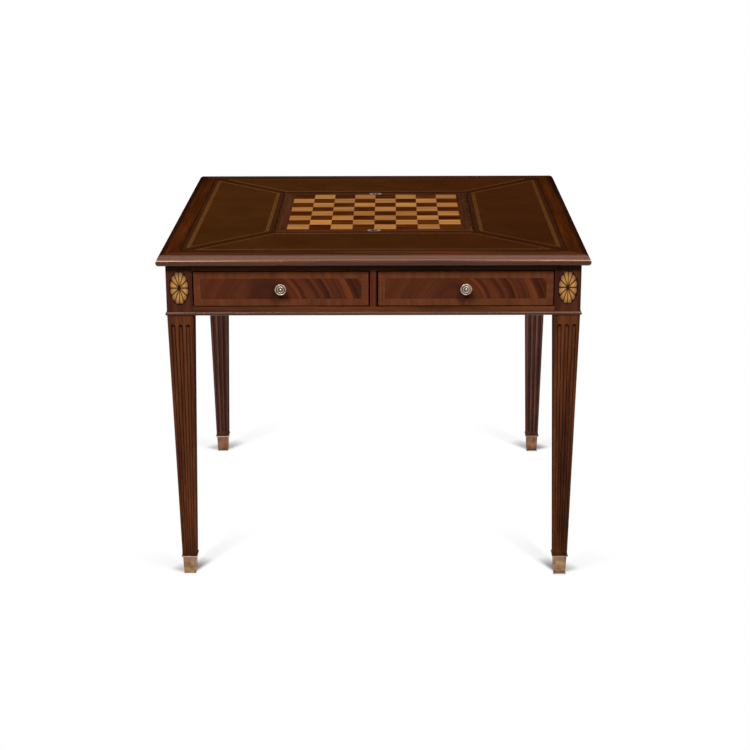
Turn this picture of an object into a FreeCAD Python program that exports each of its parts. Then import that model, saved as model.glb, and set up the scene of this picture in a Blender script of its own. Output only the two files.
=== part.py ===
import FreeCAD, Part
import math
import os

# Chess table: a square games table with a lift-out chess board, two drawers and fluted tapered legs.
# Millimetres. The origin is on the floor under the middle of the table, +Z is up, the drawers face -Y
# and +X is to the right of someone who looks at the drawers.

# Overall sizes
TABLE_HEIGHT = 762.0
TOP_SIZE = 952.0
TOP_THICKNESS = 24.5
TOP_OVERHANG = 19.0
APRON_HEIGHT = 114.5
APRON_THICKNESS = 22.0

# Moulded border of the top
BORDER_WIDTH = 48.0
ARRIS_INSET = 15.0
STEP_INSET = 4.0
SLOPE_DROP = 6.0
SLOPE_CROWN = 1.2
BULLNOSE_HEIGHT = 17.0
TONGUE_THICKNESS = 8.0
TONGUE_DEPTH = 8.0
LEATHER_THICKNESS = 1.2

# Chess board
SQUARE_SIZE = 50.8
SQUARES_PER_SIDE = 8
BOARD_BORDER = 25.4
BOARD_THICKNESS = 19.0
BOARD_VENEER = 1.2
BOARD_GAP = 2.2

# Flush ring pulls in the board
PULL_WIDTH = 31.0
PULL_MARGIN = 1.2
PULL_RIM = 1.7
PULL_FLOOR = 1.0
RING_WIRE_RADIUS = 1.1
RING_GAP = 0.9
RING_BARREL_RADIUS = 1.5
RING_BARREL_LENGTH = 11.0
RING_SINK = 0.3
RING_CLEARANCE = 0.4
RING_PIN_RADIUS = 0.7
RING_PIN_END = 3.0
PIN_RUNNING_GAP = 0.05

# Well under the board
WELL_DEPTH = 52.0
WELL_WALL = 10.0
WELL_FLOOR = 6.0
WELL_FLOOR_GROOVE = 5.0
WELL_WALL_BELOW_FLOOR = 6.0
WELL_LINING = 1.5
WELL_LINING_MARGIN = 0.5
BEARER_WIDTH = 20.0
BEARER_HEIGHT = 34.0
BEARER_SPACING = 300.0
HOUSING_DEPTH = 6.0

# Legs
POST_SIZE = 58.0
SHAFT_TOP = 57.5
SHAFT_BOTTOM = 32.6
FLUTES_PER_FACE = 3
FLUTE_PITCH = 16.6
FLUTE_WIDTH = 10.0
FLUTE_DEPTH = 2.8
FLUTE_TOP_MARGIN = 20.0
FLUTE_FOOT_MARGIN = 9.0

# Brass sabots on the legs
SABOT_HEIGHT = 45.0
SABOT_FOOT = 27.5
SABOT_NECK = 31.0
SABOT_FLANGE = 37.0
SABOT_FLANGE_HEIGHT = 3.4
SABOT_FLANGE_ROUND = 1.2
SABOT_FLOOR = 4.0
SPIGOT_FOOT = 20.0
SPIGOT_NECK = 24.0
SABOT_SCREW_HEIGHT = 22.0
SABOT_SCREW_RADIUS = 1.5
SABOT_SCREW_BITE = 8.0
SABOT_SCREW_SEAT = 1.5
SABOT_SCREW_HEAD_RADIUS = 2.6
SABOT_SCREW_HEAD = 1.4

# Inlaid fan ovals on the posts
PATERA_WIDTH = 45.0
PATERA_HEIGHT = 78.5
PATERA_EDGE = 2.5
PATERA_THICKNESS = 1.6
PETAL_THICKNESS = 0.8
PETAL_COUNT = 12
PETAL_SCALLOP = 0.08
PETAL_HUB = 0.14
PETAL_LINE = 0.075
# The ovals and the knobs sit this far above the middle of the drawers
ORNAMENT_RISE = 2.2

# Front rails, divider and joints
TOP_RAIL_HEIGHT = 13.0
BOTTOM_RAIL_HEIGHT = 19.5
DIVIDER_WIDTH = 16.0
DIVIDER_TENON = 5.0
DIVIDER_TENON_WIDTH = 8.0
TENON_LENGTH = 25.0
TENON_THICKNESS = 8.0
TENON_SHOULDER = 4.0
APRON_TENON_SHOULDER = 14.0
MORTISE_RELIEF = 1.0

# Bead moulding round the bottom of the frame
BEAD_HEIGHT = 8.5
BEAD_PROJECTION = 3.2

# Drawers
DRAWER_GAP = 2.8
DRAWER_SETBACK = 0.8
DRAWER_FRONT = 20.0
DRAWER_VENEER = 1.0
CROSSBAND_WIDTH = 15.0
DRAWER_SIDE = 11.0
DRAWER_SIDE_DROP = 4.0
DRAWER_BACK_DROP = 8.0
DRAWER_BOTTOM = 6.0
DRAWER_BOTTOM_RISE = 6.0
DRAWER_GROOVE = 5.0
DRAWER_DADO = 4.0
DOVETAIL_LENGTH = 13.0
DOVETAIL_ROOT = 13.0
DOVETAIL_FLARE = 2.0
DOVETAIL_MARGIN = 5.0
DOVETAIL_COUNT = 2
DRAWER_RUN_GAP = 0.3
DRAWER_STOP = 6.0
DRAWER_STOP_HEIGHT = 20.0

# Drawer supports
INNER_RAIL_THICKNESS = 20.0
RUNNER_WIDTH = 30.0
GUIDE_WIDTH = 14.0
GUIDE_HEIGHT = 15.0

# Turned knobs
KNOB_RADIUS = 12.5
KNOB_PROJECTION = 20.0
KNOB_ROSE_RADIUS = 8.5
KNOB_ROSE_HEIGHT = 2.4
KNOB_NECK_RADIUS = 5.0
KNOB_HEAD_THICKNESS = 9.0
KNOB_RIM_WIDTH = 2.8
KNOB_RING_RADIUS = 6.6
KNOB_RING_WIDTH = 2.8
KNOB_BOSS_RADIUS = 2.7
KNOB_BOSS_HEIGHT = 1.6
KNOB_SCREW_RADIUS = 2.0
KNOB_SCREW_BITE = 9.0
KNOB_SCREW_HEAD_RADIUS = 4.0
KNOB_SCREW_HEAD = 2.4

# Cleats and screws that hold the top
CLEAT_WIDTH = 30.0
CLEAT_HEIGHT = 20.0
TOP_SCREW_RADIUS = 2.2
TOP_SCREW_HEAD_RADIUS = 4.2
TOP_SCREW_HEAD = 3.0
TOP_SCREW_BITE = 13.0
TOP_SCREW_SPACING = 300.0
FASTENER_GAP = 0.1
INLAY_GAP = 0.1

# Places that follow from the sizes
V = FreeCAD.Vector
UP = V(0, 0, 1)
CENTRE = V(0, 0, 0)
underside = TABLE_HEIGHT - TOP_THICKNESS
apron_bottom = underside - APRON_HEIGHT
opening_top = underside - TOP_RAIL_HEIGHT
opening_bottom = apron_bottom + BOTTOM_RAIL_HEIGHT
opening_middle = (opening_top + opening_bottom) / 2
ornament_level = opening_middle + ORNAMENT_RISE
top_half = TOP_SIZE / 2
frame_half = top_half - TOP_OVERHANG
apron_inner = frame_half - APRON_THICKNESS
apron_middle = frame_half - APRON_THICKNESS / 2
post_inner = frame_half - POST_SIZE
leg_centre = frame_half - POST_SIZE / 2
leather_half = top_half - BORDER_WIDTH
leather_bottom = TABLE_HEIGHT - LEATHER_THICKNESS
squares_half = SQUARE_SIZE * SQUARES_PER_SIDE / 2
board_half = squares_half + BOARD_BORDER
board_hole = board_half + BOARD_GAP
board_bottom = TABLE_HEIGHT - BOARD_THICKNESS
veneer_bottom = TABLE_HEIGHT - BOARD_VENEER
rail_front = board_hole + INNER_RAIL_THICKNESS
SIDES = ("front", "right", "rear", "left")


# Basic shapes
def box(x0, x1, y0, y1, z0, z1):
    return Part.makeBox(x1 - x0, y1 - y0, z1 - z0, V(x0, y0, z0))


def square(half, z0, z1):
    return box(-half, half, -half, half, z0, z1)


def plate(corners, z0, z1):
    """A flat plate with straight sides, from its corners in plan."""
    points = [V(x, y, z0) for x, y in corners]
    return Part.Face(Part.makePolygon(points + points[:1])).extrude(V(0, 0, z1 - z0))


def frustum(low, high, z0, z1):
    """A square taper about the Z axis, low and high wide at its ends."""
    rings = []
    for size, z in ((low, z0), (high, z1)):
        half = size / 2
        ring = [V(-half, -half, z), V(half, -half, z), V(half, half, z), V(-half, half, z)]
        rings.append(Part.makePolygon(ring + ring[:1]))
    return Part.makeLoft(rings, True, True)


def rod(radius, start, direction, length):
    return Part.makeCylinder(radius, length, start, direction)


def quarter(shape, turns):
    """The shape turned about the table's upright axis by a number of right angles."""
    return shape.rotated(CENTRE, UP, 90 * turns)


def moved(shape, x, y, z=0):
    return shape.translated(V(x, y, z))


def mirrored(shape):
    """The shape on the other side of the table, left for right."""
    return shape.mirror(CENTRE, V(1, 0, 0))


def arc(start, middle, end):
    return Part.Arc(start, middle, end).toShape()


def line(start, end):
    return Part.makeLine(start, end)


def solid_face(edges):
    return Part.Face(Part.Wire(edges))


def wedge(half, z0, z1):
    """The quarter of the plan that belongs to the front side, between the two mitre lines."""
    return plate([(0, 0), (-half, -half), (half, -half)], z0, z1)


def save(name, shape):
    shape.exportStep("parts/%s.step" % name)


# Legs
shaft_length = apron_bottom - SABOT_HEIGHT


def shaft_scale(z):
    """How much of its top size the tapered shaft keeps at a height."""
    share = (apron_bottom - z) / shaft_length
    return 1 + share * (SHAFT_BOTTOM / SHAFT_TOP - 1)


def flute_cutter(index):
    """One flute of the front face: a slender cone with round ends, sunk into the face."""
    radius = (FLUTE_WIDTH ** 2 / 4 + FLUTE_DEPTH ** 2) / (2 * FLUTE_DEPTH)
    ends = []
    for z in (apron_bottom - FLUTE_TOP_MARGIN, SABOT_HEIGHT + FLUTE_FOOT_MARGIN):
        scale = shaft_scale(z)
        outward = SHAFT_TOP / 2 + radius - FLUTE_DEPTH
        ends.append((V(index * FLUTE_PITCH * scale, -outward * scale, z), radius * scale))
    (top, top_radius), (foot, foot_radius) = ends
    length = top.distanceToPoint(foot) - top_radius - foot_radius
    reach = math.sqrt(0.5)
    first = V(top_radius, 0, -top_radius)
    last = V(foot_radius, 0, -top_radius - length)
    tip = V(0, 0, last.z - foot_radius)
    top_middle = V(top_radius * reach, 0, top_radius * (reach - 1))
    foot_middle = V(foot_radius * reach, 0, last.z - foot_radius * reach)
    outline = [arc(CENTRE, top_middle, first), line(first, last), arc(last, foot_middle, tip)]
    outline.append(line(tip, CENTRE))
    cutter = solid_face(outline).revolve(CENTRE, UP, 360)
    cutter.Placement = FreeCAD.Placement(top, FreeCAD.Rotation(V(0, 0, -1), foot - top))
    return cutter


def fluted_shaft():
    shaft = frustum(SHAFT_BOTTOM, SHAFT_TOP, SABOT_HEIGHT, apron_bottom)
    middle = (FLUTES_PER_FACE - 1) / 2
    for count in range(FLUTES_PER_FACE):
        cutter = flute_cutter(count - middle)
        shaft = shaft.cut([quarter(cutter, turns) for turns in range(4)])
    return shaft


def spigot():
    return frustum(SPIGOT_FOOT, SPIGOT_NECK, SABOT_FLOOR, SABOT_HEIGHT)


def spigot_half(z):
    share = (z - SABOT_FLOOR) / (SABOT_HEIGHT - SABOT_FLOOR)
    return (SPIGOT_FOOT + share * (SPIGOT_NECK - SPIGOT_FOOT)) / 2


screw_seat = spigot_half(SABOT_SCREW_HEIGHT) + SABOT_SCREW_SEAT


def sabot_screw(gap):
    """The screw in the sabot's rear face, or the room for it when gap is more than nothing."""
    reach = SABOT_SCREW_SEAT + SABOT_SCREW_BITE
    start = V(0, screw_seat - reach, SABOT_SCREW_HEIGHT)
    head_start = V(0, screw_seat, SABOT_SCREW_HEIGHT)
    head_length = SABOT_SCREW_HEAD
    if gap:
        head_length = SABOT_FLANGE
    shank = rod(SABOT_SCREW_RADIUS + gap, start, V(0, 1, 0), reach)
    head = rod(SABOT_SCREW_HEAD_RADIUS + gap, head_start, V(0, 1, 0), head_length)
    return shank.fuse(head).removeSplitter()


def sabot():
    neck = SABOT_HEIGHT - SABOT_FLANGE_HEIGHT
    cup = frustum(SABOT_FOOT, SABOT_NECK, 0, neck)
    flange = square(SABOT_FLANGE / 2, neck, SABOT_HEIGHT)
    rim = [edge for edge in flange.Edges if abs(edge.tangentAt(edge.FirstParameter).z) < 0.5]
    flange = flange.makeFillet(SABOT_FLANGE_ROUND, rim)
    return cup.fuse(flange).cut([spigot(), sabot_screw(FASTENER_GAP)])


LEG_NAMES = ("front_left", "front_right", "rear_left", "rear_right")


def on_legs(shape):
    """A shape made about a leg's axis, set at the four legs."""
    return [moved(shape, x, y) for y in (-leg_centre, leg_centre) for x in (-leg_centre, leg_centre)]


# Inlaid fan ovals
def oval(width, height, depth):
    """An oval that stands upright in the face y = 0 and goes depth into the wood, towards +Y."""
    edge = Part.Ellipse(CENTRE, max(width, height) / 2, min(width, height) / 2).toShape()
    face = Part.Face(Part.Wire([edge])).rotated(CENTRE, V(1, 0, 0), 90)
    if height > width:
        face = face.rotated(CENTRE, V(0, 1, 0), 90)
    return face.extrude(V(0, depth, 0))


def petal(index):
    """One petal of the fan: straight sides from the hub and a round outer end."""
    half_width = PATERA_WIDTH / 2 - PATERA_EDGE
    half_height = PATERA_HEIGHT / 2 - PATERA_EDGE
    step = 2 * math.pi / PETAL_COUNT

    def at(share, angle):
        return V(half_width * share * math.sin(angle), 0, half_height * share * math.cos(angle))

    middle = (index + 0.5) * step
    spread = step / 2 - PETAL_LINE / 2
    shoulder = 1 - PETAL_SCALLOP
    hub = at(PETAL_HUB, middle)
    left = at(shoulder, middle - spread)
    right = at(shoulder, middle + spread)
    outline = [line(hub, left), arc(left, at(1, middle), right), line(right, hub)]
    return solid_face(outline).extrude(V(0, PETAL_THICKNESS, 0))


def on_posts(shape):
    """A shape made in the face y = 0, set on the two outward faces of all four posts."""
    placed = []
    for side in (-1, 1):
        front = moved(shape, side * leg_centre, -frame_half, ornament_level)
        placed.extend(quarter(front, turns) for turns in range(4))
    return placed


pocket_width = PATERA_WIDTH + 2 * INLAY_GAP
pocket_height = PATERA_HEIGHT + 2 * INLAY_GAP
patera_pockets = on_posts(oval(pocket_width, pocket_height, PATERA_THICKNESS))
petals = [petal(index) for index in range(PETAL_COUNT)]
patera_ground = oval(PATERA_WIDTH, PATERA_HEIGHT, PATERA_THICKNESS).cut(petals)


# Aprons and rails
def rail_with_tenons(z0, z1, shoulder):
    """A rail between the front posts, with a tenon at each end."""
    rail = box(-post_inner, post_inner, -frame_half, -apron_inner, z0, z1)
    tenons = tenon_pair(z0 + shoulder, z1 - shoulder, 0)
    return rail.fuse(tenons).removeSplitter()


def tenon_pair(z0, z1, relief):
    reach = post_inner + TENON_LENGTH + relief
    low = -apron_middle - TENON_THICKNESS / 2
    return box(-reach, reach, low, low + TENON_THICKNESS, z0, z1)


def divider_tenon(relief):
    half = DIVIDER_TENON_WIDTH / 2
    low = opening_bottom - DIVIDER_TENON - relief
    high = opening_top + DIVIDER_TENON + relief
    return box(-half, half, -apron_middle - half, -apron_middle + half, low, high)


def inner_rail():
    reach = apron_inner + HOUSING_DEPTH
    return box(-reach, reach, -rail_front, -board_hole, apron_bottom, underside)


# Levels in the well under the board
floor_top = board_bottom - WELL_DEPTH - WELL_LINING
floor_bottom = floor_top - WELL_FLOOR
wall_bottom = floor_bottom - WELL_WALL_BELOW_FLOOR
well_inner = board_hole - WELL_WALL


def bearers():
    reach = apron_inner + HOUSING_DEPTH
    half = BEARER_WIDTH / 2
    bearer = box(-reach, reach, -half, half, wall_bottom - BEARER_HEIGHT, wall_bottom)
    return [moved(bearer, 0, side * BEARER_SPACING / 2) for side in (-1, 1)]


def well_floor():
    return square(well_inner + WELL_FLOOR_GROOVE, floor_bottom, floor_top)


def well_wall():
    wall = box(-board_hole, board_hole, -board_hole, -well_inner, wall_bottom, board_bottom)
    return wall.common(wedge(TOP_SIZE, wall_bottom, board_bottom)).cut(well_floor())


def bead():
    """The front length of the bead moulding, mitred at both ends."""
    low = V(0, -frame_half, apron_bottom)
    high = low + V(0, 0, BEAD_HEIGHT)
    nose = low + V(0, -BEAD_PROJECTION, BEAD_HEIGHT / 2)
    profile = solid_face([arc(low, nose, high), line(high, low)])
    length = moved(profile, -top_half, 0).extrude(V(TOP_SIZE, 0, 0))
    return length.common(wedge(TOP_SIZE, apron_bottom, underside))


# Top
def tongue(relief):
    """The tongue round the panel, or the groove for it in the borders."""
    middle = (underside + leather_bottom) / 2
    reach = leather_half + TONGUE_DEPTH + relief
    return square(reach, middle - TONGUE_THICKNESS / 2, middle + TONGUE_THICKNESS / 2)


def border():
    """The front border board: flat, then a sloping round, a small step and a bullnose."""
    nose_radius = BULLNOSE_HEIGHT / 2
    nose_centre = underside + nose_radius
    arris = top_half - ARRIS_INSET
    step = top_half - STEP_INSET
    step_high = TABLE_HEIGHT - SLOPE_DROP
    from_nose_centre = nose_radius - STEP_INSET
    step_low = nose_centre + math.sqrt(nose_radius ** 2 - from_nose_centre ** 2)
    corners = [(leather_half, underside), (leather_half, TABLE_HEIGHT), (arris, TABLE_HEIGHT)]
    corners += [(step, step_high), (step, step_low), (top_half, nose_centre)]
    corners.append((top_half - nose_radius, underside))
    inner_low, inner_high, arris, step_top, step_foot, nose, nose_foot = [V(0, -y, z) for y, z in corners]
    chord = step_top - arris
    crown = (arris + step_top) / 2 + V(0, chord.z, -chord.y) * (SLOPE_CROWN / chord.Length)
    edges = [line(inner_low, inner_high), line(inner_high, arris), arc(arris, crown, step_top)]
    edges += [line(step_top, step_foot), arc(step_foot, nose, nose_foot), line(nose_foot, inner_low)]
    length = moved(solid_face(edges), -top_half, 0).extrude(V(TOP_SIZE, 0, 0))
    return length.common(wedge(TOP_SIZE, underside, TABLE_HEIGHT)).cut(tongue(MORTISE_RELIEF))


def leather():
    return plate(trapezium(leather_half, board_hole), leather_bottom, TABLE_HEIGHT)


def trapezium(outer, inner):
    """The front side of a square frame in plan, mitred."""
    return [(-outer, -outer), (outer, -outer), (inner, -inner), (-inner, -inner)]


# Screws up into the top: where they stand, and the underside of the piece that each goes through
cleat_middle = apron_inner - CLEAT_WIDTH / 2
cleat_bottom = underside - CLEAT_HEIGHT
runner_starts = (-post_inner, -RUNNER_WIDTH / 2, post_inner - RUNNER_WIDTH)
runner_middle = -(apron_inner + rail_front) / 2
screw_places = [(x + RUNNER_WIDTH / 2, runner_middle, opening_top) for x in runner_starts]
for spot in (-TOP_SCREW_SPACING / 2, TOP_SCREW_SPACING / 2):
    screw_places.append((spot, cleat_middle, cleat_bottom))
    screw_places.append((-cleat_middle, spot, cleat_bottom))
    screw_places.append((cleat_middle, spot, cleat_bottom))


def top_screw(place, gap):
    x, y, z = place
    shank = rod(TOP_SCREW_RADIUS + gap, V(x, y, z), UP, underside + TOP_SCREW_BITE - z)
    head = rod(TOP_SCREW_HEAD_RADIUS, V(x, y, z - TOP_SCREW_HEAD), UP, TOP_SCREW_HEAD)
    return shank.fuse(head)


top_screw_holes = [top_screw(place, FASTENER_GAP) for place in screw_places]


def cleats():
    """Strips along the insides of the left, right and rear aprons."""
    rear_low = apron_inner - CLEAT_WIDTH
    rear = box(-post_inner, post_inner, rear_low, apron_inner, cleat_bottom, underside)
    side_end = min(post_inner, rear_low)
    side = box(-apron_inner, CLEAT_WIDTH - apron_inner, -board_hole, side_end, cleat_bottom, underside)
    return [side, mirrored(side), rear]


# Supports of the drawers, the left, middle and right of each kind
def strips(z0, z1):
    return [box(x, x + RUNNER_WIDTH, -apron_inner, -rail_front, z0, z1) for x in runner_starts]


def guides():
    high = opening_bottom + GUIDE_HEIGHT
    half = DIVIDER_WIDTH / 2
    left = box(-post_inner - GUIDE_WIDTH, -post_inner, -post_inner, -rail_front, apron_bottom, high)
    middle = box(-half, half, -apron_inner, -rail_front, opening_bottom, high)
    return [left, middle, mirrored(left)]


# Drawers: the left one is made, and the right one is its mirror image
drawer_outer = -post_inner + DRAWER_GAP
drawer_inner = -DIVIDER_WIDTH / 2 - DRAWER_GAP
drawer_middle = (drawer_outer + drawer_inner) / 2
drawer_low = opening_bottom + DRAWER_GAP
drawer_high = opening_top - DRAWER_GAP
drawer_face = -frame_half + DRAWER_SETBACK
front_face = drawer_face + DRAWER_VENEER
front_back = front_face + DRAWER_FRONT
drawer_end = -rail_front - DRAWER_STOP - DRAWER_RUN_GAP
side_low = opening_bottom + DRAWER_RUN_GAP
side_high = opening_top - DRAWER_SIDE_DROP
bottom_low = side_low + DRAWER_BOTTOM_RISE
bottom_high = bottom_low + DRAWER_BOTTOM
side_starts = (drawer_outer, drawer_inner - DRAWER_SIDE)


def drawer_bottom():
    left = drawer_outer + DRAWER_SIDE - DRAWER_GROOVE
    right = drawer_inner - DRAWER_SIDE + DRAWER_GROOVE
    return box(left, right, front_back - DRAWER_GROOVE, drawer_end, bottom_low, bottom_high)


def drawer_back():
    left = drawer_outer + DRAWER_SIDE - DRAWER_DADO
    right = drawer_inner - DRAWER_SIDE + DRAWER_DADO
    return box(left, right, drawer_end - DRAWER_SIDE, drawer_end, bottom_high, side_high - DRAWER_BACK_DROP)


def dovetails(start):
    """The tails on a side's front end, spread over its height above the drawer's bottom."""
    low = bottom_high + DOVETAIL_MARGIN
    pitch = (side_high - low) / DOVETAIL_COUNT
    tip = front_back - DOVETAIL_LENGTH
    tails = []
    for count in range(DOVETAIL_COUNT):
        middle = low + (count + 0.5) * pitch
        root = DOVETAIL_ROOT / 2
        end = root + DOVETAIL_FLARE
        outline = [(front_back, middle - root), (front_back, middle + root)]
        outline += [(tip, middle + end), (tip, middle - end)]
        points = [V(start, y, z) for y, z in outline]
        tails.append(Part.Face(Part.makePolygon(points + points[:1])).extrude(V(DRAWER_SIDE, 0, 0)))
    return tails


def drawer_side(start):
    side = box(start, start + DRAWER_SIDE, front_back, drawer_end, side_low, side_high)
    side = side.fuse(dovetails(start)).removeSplitter()
    return side.cut([drawer_bottom(), drawer_back()])


def drawer_stops():
    high = opening_bottom + DRAWER_STOP_HEIGHT
    start = -rail_front - DRAWER_STOP
    left = [box(x, x + DRAWER_SIDE, start, -rail_front, opening_bottom, high) for x in side_starts]
    return left + [mirrored(stop) for stop in left]


def knob_screw(gap):
    shank_length = DRAWER_FRONT + DRAWER_VENEER + KNOB_SCREW_BITE
    seat = V(drawer_middle, front_back, ornament_level)
    shank = rod(KNOB_SCREW_RADIUS + gap, seat, V(0, -1, 0), shank_length)
    head = rod(KNOB_SCREW_HEAD_RADIUS, seat, V(0, 1, 0), KNOB_SCREW_HEAD)
    return shank.fuse(head).removeSplitter()


def drawer_front():
    front = box(drawer_outer, drawer_inner, front_face, front_back, drawer_low, drawer_high)
    tails = [tail for start in side_starts for tail in dovetails(start)]
    return front.cut(tails + [drawer_bottom(), knob_screw(FASTENER_GAP)])


def flame_field():
    edge = CROSSBAND_WIDTH
    left = drawer_outer + edge
    right = drawer_inner - edge
    field = box(left, right, drawer_face, front_face, drawer_low + edge, drawer_high - edge)
    return field.cut(knob_screw(FASTENER_GAP))


def crossbands():
    """The four mitred strips of the frame round the flame field."""
    outer = [(drawer_outer, drawer_low), (drawer_inner, drawer_low)]
    outer += [(drawer_inner, drawer_high), (drawer_outer, drawer_high)]
    inner = []
    for x, z in outer:
        inward_x = math.copysign(CROSSBAND_WIDTH, drawer_middle - x)
        inward_z = math.copysign(CROSSBAND_WIDTH, opening_middle - z)
        inner.append((x + inward_x, z + inward_z))
    strips_made = []
    for first in range(4):
        second = (first + 1) % 4
        outline = [outer[first], outer[second], inner[second], inner[first]]
        points = [V(x, drawer_face, z) for x, z in outline]
        strips_made.append(Part.Face(Part.makePolygon(points + points[:1])).extrude(V(0, DRAWER_VENEER, 0)))
    return strips_made


def knob():
    """A turned knob: rose, neck, and a head with a rim, a ring and a boss raised on its face."""
    head_back = KNOB_PROJECTION - KNOB_HEAD_THICKNESS
    face = KNOB_PROJECTION - KNOB_RIM_WIDTH / 2

    def at(radius, out):
        return V(radius, 0, out)

    def raised(radius, width):
        """A half-round ring on the head's face, from its outer edge inwards."""
        half = width / 2
        return arc(at(radius + half, face), at(radius, face + half), at(radius - half, face))

    rose = at(KNOB_ROSE_RADIUS, KNOB_ROSE_HEIGHT)
    neck_low = at(KNOB_NECK_RADIUS, KNOB_ROSE_HEIGHT)
    neck_high = at(KNOB_NECK_RADIUS, head_back)
    widest = at(KNOB_RADIUS, face)
    belly = (neck_high + widest) / 2 + at(KNOB_RIM_WIDTH / 2, -KNOB_RIM_WIDTH / 2)
    rim_radius = KNOB_RADIUS - KNOB_RIM_WIDTH / 2
    ring_outer = at(KNOB_RING_RADIUS + KNOB_RING_WIDTH / 2, face)
    ring_inner = at(KNOB_RING_RADIUS - KNOB_RING_WIDTH / 2, face)
    ball = (KNOB_BOSS_RADIUS ** 2 + KNOB_BOSS_HEIGHT ** 2) / (2 * KNOB_BOSS_HEIGHT)
    boss_side = KNOB_BOSS_RADIUS / 2
    boss_out = face + KNOB_BOSS_HEIGHT - ball + math.sqrt(ball ** 2 - boss_side ** 2)
    boss_foot = at(KNOB_BOSS_RADIUS, face)
    boss_top = at(0, face + KNOB_BOSS_HEIGHT)
    edges = [line(CENTRE, at(KNOB_ROSE_RADIUS, 0)), line(at(KNOB_ROSE_RADIUS, 0), rose)]
    edges += [line(rose, neck_low), line(neck_low, neck_high), arc(neck_high, belly, widest)]
    edges += [raised(rim_radius, KNOB_RIM_WIDTH), line(at(KNOB_RADIUS - KNOB_RIM_WIDTH, face), ring_outer)]
    edges += [raised(KNOB_RING_RADIUS, KNOB_RING_WIDTH), line(ring_inner, boss_foot)]
    edges += [arc(boss_foot, at(boss_side, boss_out), boss_top), line(boss_top, CENTRE)]
    turned = solid_face(edges).revolve(CENTRE, UP, 360).rotated(CENTRE, V(1, 0, 0), 90)
    return moved(turned, drawer_middle, drawer_face, ornament_level).cut(knob_screw(FASTENER_GAP))


def drawer_pieces():
    sides = [drawer_side(start) for start in side_starts]
    return {
        "front": drawer_front(),
        "flame_veneer": flame_field(),
        "crossband": Part.makeCompound(crossbands()),
        "sides": Part.makeCompound(sides),
        "back": drawer_back(),
        "bottom": drawer_bottom(),
        "knob": knob(),
        "knob_screw": knob_screw(0),
    }


# Flush ring pulls: made with the pull's middle at the origin, in the board's surface
pull_depth = BOARD_BORDER - 2 * PULL_MARGIN
pull_pocket = pull_depth / 2 - PULL_RIM
ring_radius = pull_pocket - RING_GAP - RING_WIRE_RADIUS
axis_depth = RING_SINK + RING_BARREL_RADIUS
pocket_depth = axis_depth + RING_BARREL_RADIUS + RING_CLEARANCE
cup_depth = pocket_depth + PULL_FLOOR
# The raised ring is this wide, to each side, where it leaves the board's surface
ring_swing = math.sqrt((ring_radius + RING_WIRE_RADIUS) ** 2 - (ring_radius - axis_depth) ** 2)
barrel_room = max(RING_BARREL_LENGTH / 2, ring_swing) + RING_CLEARANCE
pin_reach = barrel_room + RING_PIN_END
pull_middle = board_half - BOARD_BORDER / 2


def hinge_rod(radius, half):
    return rod(radius, V(-half, ring_radius, -axis_depth), V(1, 0, 0), 2 * half)


def pull_oval(gap):
    flat = oval(PULL_WIDTH + 2 * gap, pull_depth + 2 * gap, cup_depth)
    return flat.rotated(CENTRE, V(1, 0, 0), -90)


def pull_cup():
    pocket = rod(pull_pocket, CENTRE, V(0, 0, -1), pocket_depth)
    half = RING_BARREL_RADIUS + RING_CLEARANCE
    room = box(-barrel_room, barrel_room, ring_radius - half, ring_radius + half, -pocket_depth, 0)
    return pull_oval(0).cut([pocket, room, hinge_rod(RING_PIN_RADIUS + PIN_RUNNING_GAP, pin_reach)])


def pull_ring():
    loop = Part.makeTorus(ring_radius, RING_WIRE_RADIUS, V(0, 0, -axis_depth))
    barrel = hinge_rod(RING_BARREL_RADIUS, RING_BARREL_LENGTH / 2)
    bore = hinge_rod(RING_PIN_RADIUS + PIN_RUNNING_GAP, ring_radius)
    return loop.fuse(barrel).cut(bore)


def at_pulls(shape):
    """A pull's piece set in the front and the rear border of the board."""
    front = moved(shape, 0, -pull_middle, TABLE_HEIGHT)
    return [front, quarter(front, 2)]


def chess_squares(light):
    """The squares of one colour. The square at the left of the front row is light."""
    squares = []
    for column in range(SQUARES_PER_SIDE):
        for row in range(SQUARES_PER_SIDE):
            if ((column + row) % 2 == 0) == light:
                x = -squares_half + column * SQUARE_SIZE
                y = -squares_half + row * SQUARE_SIZE
                squares.append(box(x, x + SQUARE_SIZE, y, y + SQUARE_SIZE, veneer_bottom, TABLE_HEIGHT))
    return squares


# Write every piece
os.makedirs("parts", exist_ok=True)

front_top_rail = rail_with_tenons(opening_top, underside, TENON_SHOULDER)
front_bottom_rail = rail_with_tenons(apron_bottom, opening_bottom, TENON_SHOULDER)
apron = rail_with_tenons(apron_bottom, underside, APRON_TENON_SHOULDER)
mortises = [tenon_pair(opening_top + TENON_SHOULDER, underside - TENON_SHOULDER, MORTISE_RELIEF)]
mortises.append(tenon_pair(apron_bottom + TENON_SHOULDER, opening_bottom - TENON_SHOULDER, MORTISE_RELIEF))
apron_tenon_low = apron_bottom + APRON_TENON_SHOULDER
apron_mortise = tenon_pair(apron_tenon_low, underside - APRON_TENON_SHOULDER, MORTISE_RELIEF)
mortises.extend(quarter(apron_mortise, turns) for turns in (1, 2, 3))

blank = square(POST_SIZE / 2, apron_bottom, underside).fuse([fluted_shaft(), spigot()]).removeSplitter()
blank = blank.cut(sabot_screw(FASTENER_GAP))
for name, leg in zip(LEG_NAMES, on_legs(blank)):
    save("leg_" + name, leg.cut(mortises + patera_pockets))
save("sabots", Part.makeCompound(on_legs(sabot())))
save("sabot_screws", Part.makeCompound(on_legs(sabot_screw(0))))
save("patera_grounds", Part.makeCompound(on_posts(patera_ground)))
save("patera_petals", Part.makeCompound([copy for shape in petals for copy in on_posts(shape)]))

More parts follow.
